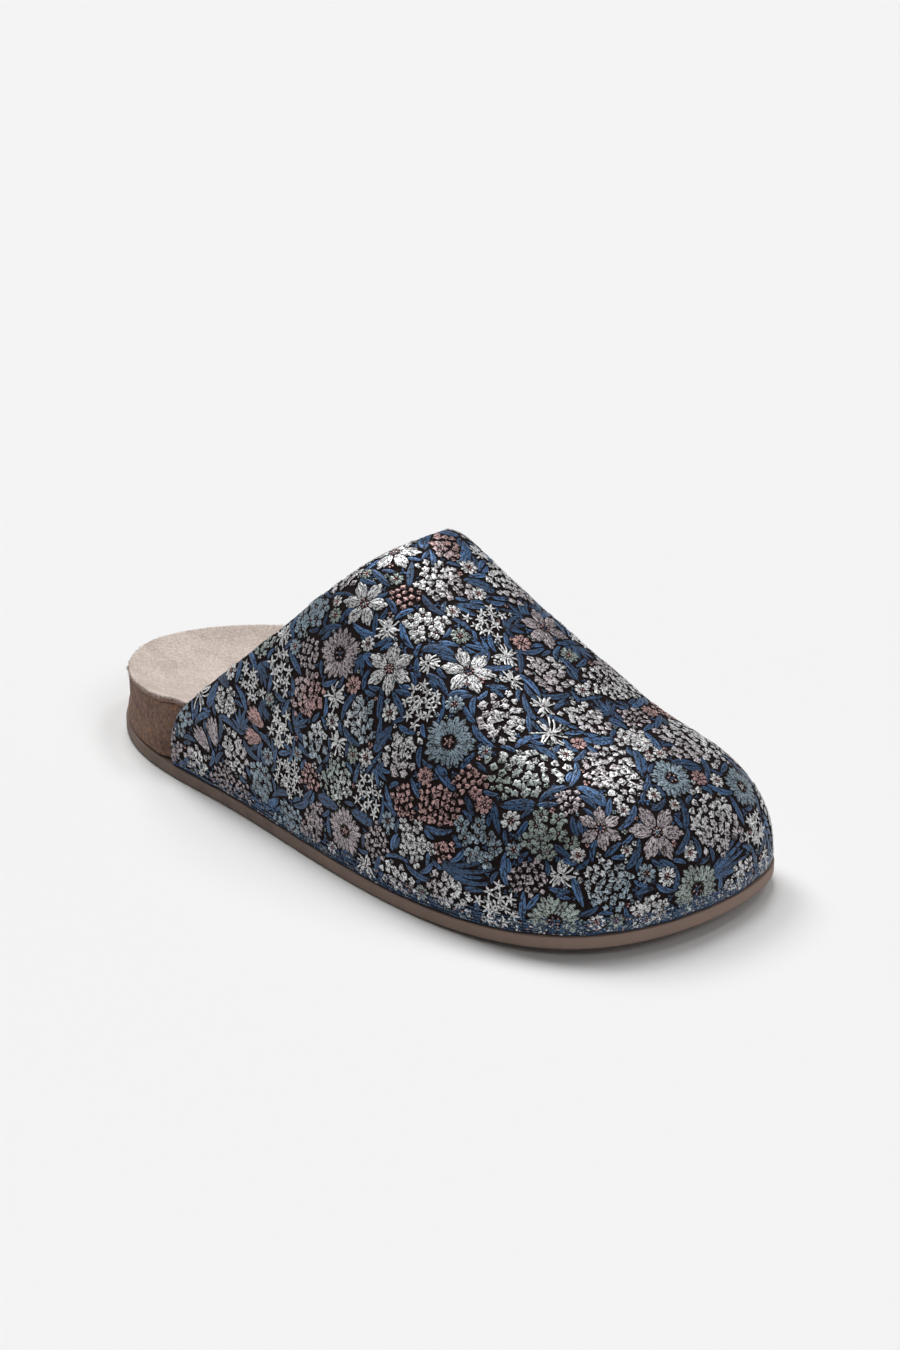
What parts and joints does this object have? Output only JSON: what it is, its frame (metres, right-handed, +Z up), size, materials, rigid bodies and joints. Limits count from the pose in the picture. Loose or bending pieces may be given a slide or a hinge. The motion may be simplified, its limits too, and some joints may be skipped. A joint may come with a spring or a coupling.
{
  "type": "sneaker mule",
  "caption": "Backless right-foot mule: hollow woven upper over a suede footbed, a cork core and a thin rubber outsole with toe spring; it stands empty on its sole.",
  "frame": {"origin": "middle of the bounding box in plan, on the floor under the sole", "axes": "+X to the toe, +Y to the inner side of the right foot, +Z up"},
  "size_m": [0.265, 0.1058, 0.0994],
  "materials": {
    "rubber": "matte moulded rubber",
    "cork": "fine-grained pressed cork, matte",
    "suede": "short-napped suede",
    "brocade": "jacquard brocade with silky floats on a dark ground"
  },
  "bodies": {
    "root": {"outsole": "rubber", "midsole": "cork", "insole": "suede", "upper": "brocade"}
  },
  "joints": []
}
